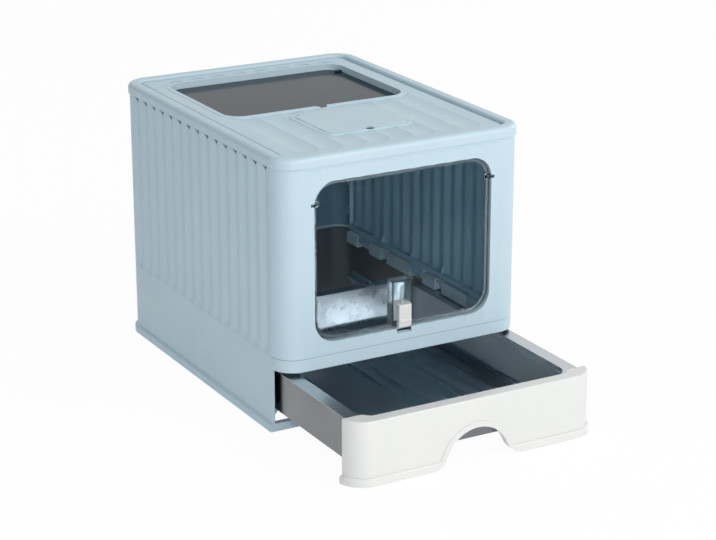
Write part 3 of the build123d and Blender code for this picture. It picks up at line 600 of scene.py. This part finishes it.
def wallFrame(side):
    # beams, posts, gussets, knuckles and corner tongues behind the ribbed skin
    bm = bmesh.new()
    stop = wallStart + wall["ribSpan"]
    inX = body["halfWidth"] - wall["beamDepth"]
    midX = body["halfWidth"] - wall["ribDepth"] - wall["sheet"] / 2
    beamTop = wall["bottom"] + wall["beamHeight"]
    addBar(bm, side * inX, side * midX, wallStart, stop, wall["bottom"], beamTop)
    lowered = wall["top"] - wall["notchDrop"] - wall["headClear"]
    addBar(bm, side * inX, side * midX, wallStart, stop, wall["top"] - wall["headHeight"], lowered)
    for y in (wallStart, stop - wall["post"]):
        addBar(bm, side * inX, side * midX, y, y + wall["post"], wall["bottom"], wall["top"])
    foot = inX + wall["footSet"]
    gusset = [(foot, beamTop), (midX, beamTop), (midX, beamTop + wall["gussetHeight"]),
              (foot + wall["post"], beamTop + wall["gussetHeight"]), (foot, beamTop + wall["post"])]
    for n in range(2, wall["ribCount"], 3):
        y = wallStart + (n + 0.5) * wall["ribPitch"]
        half = wall["gussetSheet"] / 2
        addPrism(bm, [(side * x, z) for x, z in gusset], y - half, y + half)
    pinX = body["halfWidth"] - wall["hingeInset"]
    pinZ = wall["bottom"] - wall["hingeDrop"]
    arm = wall["arm"]
    for y in hingeGroups():
        addTube(bm, side * pinX, pinZ, y, y + wall["knuckle"], wall["knuckleRadius"], wall["pinRadius"])
        addBar(bm, side * (pinX - arm["in"]), side * (pinX + arm["out"]), y, y + wall["knuckle"],
               pinZ + arm["above"], wall["bottom"] + arm["into"])
    for rise in wall["lockRises"]:
        z = wall["bottom"] + rise
        for y0, y1 in ((wallStart - wall["lockReach"], wallStart + wall["post"]),
                       (stop - wall["post"], stop + wall["lockReach"])):
            addBar(bm, side * foot, side * (foot + wall["lockSheet"]), y0, y1,
                   z - wall["lockHalf"], z + wall["lockHalf"])
    bmesh.ops.recalc_face_normals(bm, faces=bm.faces)
    shadeByAngle(bm, 32.0)
    mesh = bpy.data.meshes.new("wallFrame")
    bm.to_mesh(mesh)
    bm.free()
    return mesh


skinTree = ribbedSkinTree()
for side, word in ((1.0, "right"), (-1.0, "left")):
    skin = bakeTree("ribbed_skin_" + word, skinTree, {
        "Half Width": body["halfWidth"] * mm, "Rib Count": wall["ribCount"],
        "Rib Pitch": wall["ribPitch"] * mm,
        "Rib Depth": wall["ribDepth"] * mm, "Sheet": wall["sheet"] * mm, "Bottom": wall["bottom"] * mm,
        "Top": wall["top"] * mm, "Middle": body["middleY"] * mm, "Notch Half": wall["notchHalf"] * mm,
        "Notch Drop": wall["notchDrop"] * mm, "Foot Blend": wall["footBlend"] * mm,
        "Steps": wall["stepsPerRib"], "Inner Share": wall["innerShare"], "Side": side})
    bm = bmesh.new()
    bm.from_mesh(skin)
    bmesh.ops.recalc_face_normals(bm, faces=bm.faces)
    shadeByAngle(bm, 40.0)
    bm.to_mesh(skin)
    bm.free()
    node = "side_wall_" + word
    wallBody = "wall_" + word
    shell = newPiece("ribbed_skin_" + word, skin, bluePlastic, wallBody, [node])
    # painted shade: the skin's inner faces and the frame behind it in the darker inner blue
    repaint(shell, paintedShadeBlue, lambda c, n: n.x * side < -0.5)
    back = newPiece("wall_frame_" + word, wallFrame(side), paintedShadeBlue, wallBody, [node])
    addBevel(back, 0.4)
print("ribbed walls made")


# ---- drawer screws

screws = {
    "outerPlace": 140.0,
    "spacing": 40.0,
    "seat": frontY + 14.0 + 1.2 - body["pullOut"],   # the frame's inner face
    "height": 62.0,
    "shankRadius": 1.45,
    "shankLength": 10.0,
    "headRadius": 3.4,
    "headHeight": 2.3,
    "recess": 0.75,
}


def screwMesh():
    # pan head with a cross recess, seat at the origin, axis along +Y
    bm = bmesh.new()
    steps = 32
    profile = [(0.0, -screws["shankLength"]), (0.6 * screws["shankRadius"], -screws["shankLength"]),
               (screws["shankRadius"], -screws["shankLength"] + 1.2), (screws["shankRadius"], 0.0),
               (screws["headRadius"], 0.0), (screws["headRadius"], 0.35 * screws["headHeight"])]
    for n in range(1, 7):
        a = n / 6 * pi / 2
        profile.append((screws["headRadius"] * (0.55 + 0.45 * cos(a)),
                        screws["headHeight"] * (0.35 + 0.65 * sin(a))))
    rings = []
    for radius, y in profile:
        if radius == 0.0:
            rings.append([bm.verts.new((0, y * mm, 0))])
        else:
            turns = [tau * k / steps for k in range(steps)]
            rings.append([bm.verts.new((radius * cos(turn) * mm, y * mm, radius * sin(turn) * mm))
                          for turn in turns])
    for one, two in zip(rings, rings[1:]):
        for k in range(steps):
            m = (k + 1) % steps
            if len(one) == 1:
                bm.faces.new((one[0], two[k], two[m]))
            else:
                bm.faces.new((one[k], two[k], two[m], one[m]))
    top = rings[-1]
    y = screws["headHeight"]
    deep = (y - screws["recess"]) * mm
    # twelve corners of a cross, sunk into the head
    half, reach = 0.32, 1.35
    cross = [(half, reach), (half, half), (reach, half), (reach, -half), (half, -half), (half, -reach),
             (-half, -reach), (-half, -half), (-reach, -half), (-reach, half), (-half, half), (-half, reach)]
    rim = [bm.verts.new((x * mm, y * mm, z * mm)) for x, z in cross]
    floor = [bm.verts.new((x * 0.6 * mm, deep, z * 0.6 * mm)) for x, z in cross]
    for n in range(12):
        m = (n + 1) % 12
        bm.faces.new((rim[n], rim[m], floor[m], floor[n]))
    bm.faces.new(floor)
    edges = [bm.edges.get((top[k], top[(k + 1) % steps])) for k in range(steps)]
    edges += [bm.edges.get((rim[n], rim[(n + 1) % 12])) for n in range(12)]
    bmesh.ops.triangle_fill(bm, edges=edges, use_beauty=True)
    bmesh.ops.recalc_face_normals(bm, faces=bm.faces)
    shadeByAngle(bm, 32.0)
    mesh = bpy.data.meshes.new("screwShape")
    bm.to_mesh(mesh)
    bm.free()
    return mesh


def screwTree(shape):
    tree = newTree("screwPairs", [
        ("Outer Place", "NodeSocketFloat", 0.14), ("Spacing", "NodeSocketFloat", 0.04),
        ("Seat", "NodeSocketFloat", 0.0), ("Height", "NodeSocketFloat", 0.06), ("Seed", "NodeSocketInt", 7),
    ])
    w = Wires(tree)
    source = w.node("GeometryNodeObjectInfo", {"As Instance": True})
    source.inputs["Object"].default_value = shape
    # two pairs, one at each side of the finger arch
    rows = w.node("GeometryNodeJoinGeometry")
    for sign in (-1.0, 1.0):
        x = w.math("MULTIPLY", w.value("Outer Place"), sign)
        start = w.node("ShaderNodeCombineXYZ", {"X": x, "Y": w.value("Seat"), "Z": w.value("Height")})
        step = w.node("ShaderNodeCombineXYZ", {"X": w.math("MULTIPLY", w.value("Spacing"), -sign)})
        line = w.node("GeometryNodeMeshLine", {"Count": 2, "Start Location": start.outputs[0],
                                               "Offset": step.outputs[0]}, mode="OFFSET")
        tree.links.new(line.outputs[0], rows.inputs[0])
    angle = w.node("FunctionNodeRandomValue", {"Seed": w.value("Seed")}, data_type="FLOAT")
    angle.inputs[3].default_value = tau
    turn = w.node("ShaderNodeCombineXYZ", {"Y": angle.outputs[1]})
    placed = w.node("GeometryNodeInstanceOnPoints", {
        "Points": rows.outputs[0], "Instance": source.outputs["Geometry"], "Rotation": turn.outputs[0]})
    w.end(placed.outputs[0], pinSteel)
    return tree


shapeHost = bpy.data.objects.new("screwShape", screwMesh())
scene.collection.objects.link(shapeHost)
screwRow = bakeTree("drawer_screw_set", screwTree(shapeHost), {
    "Outer Place": screws["outerPlace"] * mm, "Spacing": screws["spacing"] * mm, "Seat": screws["seat"] * mm,
    "Height": screws["height"] * mm, "Seed": 7})
bpy.data.objects.remove(shapeHost)
newPiece("drawer_screw_set", screwRow, pinSteel, "drawer", ["drawer_screws"])
print("screws placed")


# ---- camera, floor, light

view = {
    "place": (-1.43263, -2.56088, 1.17139),
    "right": (0.87034, -0.49245, -0.00005),
    "up": (0.159805, 0.282337, 0.945911),
    "forward": (0.465800, 0.823273, -0.324425),
    "lens": 107.98,
}
cameraData = bpy.data.cameras.new("camera")
camera = bpy.data.objects.new("camera", cameraData)
scene.collection.objects.link(camera)
axes = Matrix((view["right"], view["up"], [-v for v in view["forward"]])).transposed()
camera.matrix_world = Matrix.Translation(view["place"]) @ axes.to_4x4()
cameraData.lens = view["lens"]
cameraData.sensor_width = 36.0
cameraData.clip_end = 50.0
cameraData.dof.use_dof = False
scene.camera = camera

studio = {
    "ambient": 0.59,
    "ambientColour": (0.91, 0.97, 1.0, 1.0),
    "floorColour": (0.9, 0.9, 0.9, 1.0),
    "floorSize": 12,
    "floorDrop": 0.0002,
    "floorGlow": 0.96,       # share of plain white that the camera and the gloss see in the floor
    "aim": (0.0, 0.0, 0.2),
}
lamps = [
    # name, watts, size and place in metres, colour
    ("keyLamp", 46.0, 1.8, (1.2, -2.7, 2.1), (1.0, 0.975, 0.945)),
    ("rimLamp", 16.0, 1.2, (3.0, 0.6, 1.35), (1.0, 1.0, 1.0)),
    ("fillLamp", 34.0, 0.8, (-1.15, -3.4, 1.0), (1.0, 1.0, 1.0)),
]
# the dark sheet for painted shade in reflections
reflectionShade = {"colour": (0.035, 0.06, 0.08, 1.0), "x": -1.3, "y": (-0.2, 5.0), "top": 3.0}


def addLamp(name, power, size, place, colour):
    data = bpy.data.lights.new(name, "AREA")
    data.energy = power
    data.color = colour
    data.shape = "SQUARE"
    data.size = size
    lamp = bpy.data.objects.new(name, data)
    scene.collection.objects.link(lamp)
    lamp.location = place
    lamp.rotation_euler = (Vector(studio["aim"]) - Vector(place)).to_track_quat("-Z", "Y").to_euler()
    return lamp


for lamp in lamps:
    addLamp(*lamp)


def seenDirectly(tree):
    # 1 for camera, glossy and transmission rays
    path = tree.nodes.new("ShaderNodeLightPath")
    total = path.outputs["Is Camera Ray"]
    for name in ("Is Glossy Ray", "Is Transmission Ray"):
        add = tree.nodes.new("ShaderNodeMath")
        add.operation = "MAXIMUM"
        tree.links.new(total, add.inputs[0])
        tree.links.new(path.outputs[name], add.inputs[1])
        total = add.outputs[0]
    return total


world = bpy.data.worlds.new("studioWorld")
world.use_nodes = True
scene.world = world
worldTree = world.node_tree
base = worldTree.nodes["Background"]
base.inputs["Color"].default_value = studio["ambientColour"]
base.inputs["Strength"].default_value = studio["ambient"]
seen = worldTree.nodes.new("ShaderNodeBackground")
seen.inputs["Color"].default_value = (1.0, 1.0, 1.0, 1.0)
seen.inputs["Strength"].default_value = 1.0
mixWorld = worldTree.nodes.new("ShaderNodeMixShader")
worldTree.links.new(seenDirectly(worldTree), mixWorld.inputs[0])
worldTree.links.new(base.outputs[0], mixWorld.inputs[1])
worldTree.links.new(seen.outputs[0], mixWorld.inputs[2])
worldTree.links.new(mixWorld.outputs[0], worldTree.nodes["World Output"].inputs["Surface"])

floorMaterial = bpy.data.materials.new("paleFloor")
floorMaterial.use_nodes = True
floorTree = floorMaterial.node_tree
matte = floorTree.nodes["Principled BSDF"]
matte.inputs["Base Color"].default_value = studio["floorColour"]
matte.inputs["Roughness"].default_value = 0.9
matte.inputs["Specular IOR Level"].default_value = 0.1
glow = floorTree.nodes.new("ShaderNodeEmission")
glow.inputs["Strength"].default_value = 1.0
mixFloor = floorTree.nodes.new("ShaderNodeMixShader")
portion = floorTree.nodes.new("ShaderNodeMath")
portion.operation = "MULTIPLY"
portion.inputs[1].default_value = studio["floorGlow"]
floorTree.links.new(seenDirectly(floorTree), portion.inputs[0])
floorTree.links.new(portion.outputs[0], mixFloor.inputs[0])
floorTree.links.new(matte.outputs[0], mixFloor.inputs[1])
floorTree.links.new(glow.outputs[0], mixFloor.inputs[2])
floorTree.links.new(mixFloor.outputs[0], floorTree.nodes["Material Output"].inputs["Surface"])
floorMesh = bpy.data.meshes.new("floor")
far = studio["floorSize"]
floorMesh.from_pydata([(-far, -far, 0), (far, -far, 0), (far, far, 0), (-far, far, 0)], [], [(0, 1, 2, 3)])
floorMesh.materials.append(floorMaterial)
floor = bpy.data.objects.new("floor", floorMesh)
scene.collection.objects.link(floor)
floor.location.z = -studio["floorDrop"]

# a dark sheet to the left, which only reflections show: painted shade in the steel's reflections
reflectionShadeMaterial = bpy.data.materials.new("darkReflectionShade")
reflectionShadeMaterial.use_nodes = True
reflectionShadeShader = reflectionShadeMaterial.node_tree.nodes["Principled BSDF"]
reflectionShadeShader.inputs["Base Color"].default_value = reflectionShade["colour"]
reflectionShadeShader.inputs["Roughness"].default_value = 0.95
reflectionShadeMesh = bpy.data.meshes.new("sideCloth")
near, rear = reflectionShade["y"]
outline = ((near, 0.0), (rear, 0.0), (rear, reflectionShade["top"]), (near, reflectionShade["top"]))
corners = [(reflectionShade["x"], y, z) for y, z in outline]
reflectionShadeMesh.from_pydata(corners, [], [(0, 1, 2, 3)])
reflectionShadeMesh.materials.append(reflectionShadeMaterial)
sideCloth = bpy.data.objects.new("sideCloth", reflectionShadeMesh)
scene.collection.objects.link(sideCloth)
for unseenBy in ("camera", "diffuse", "transmission", "shadow", "volume_scatter"):
    setattr(sideCloth, "visible_" + unseenBy, False)

scene.view_settings.view_transform = "Standard"
print("camera, floor and light set")
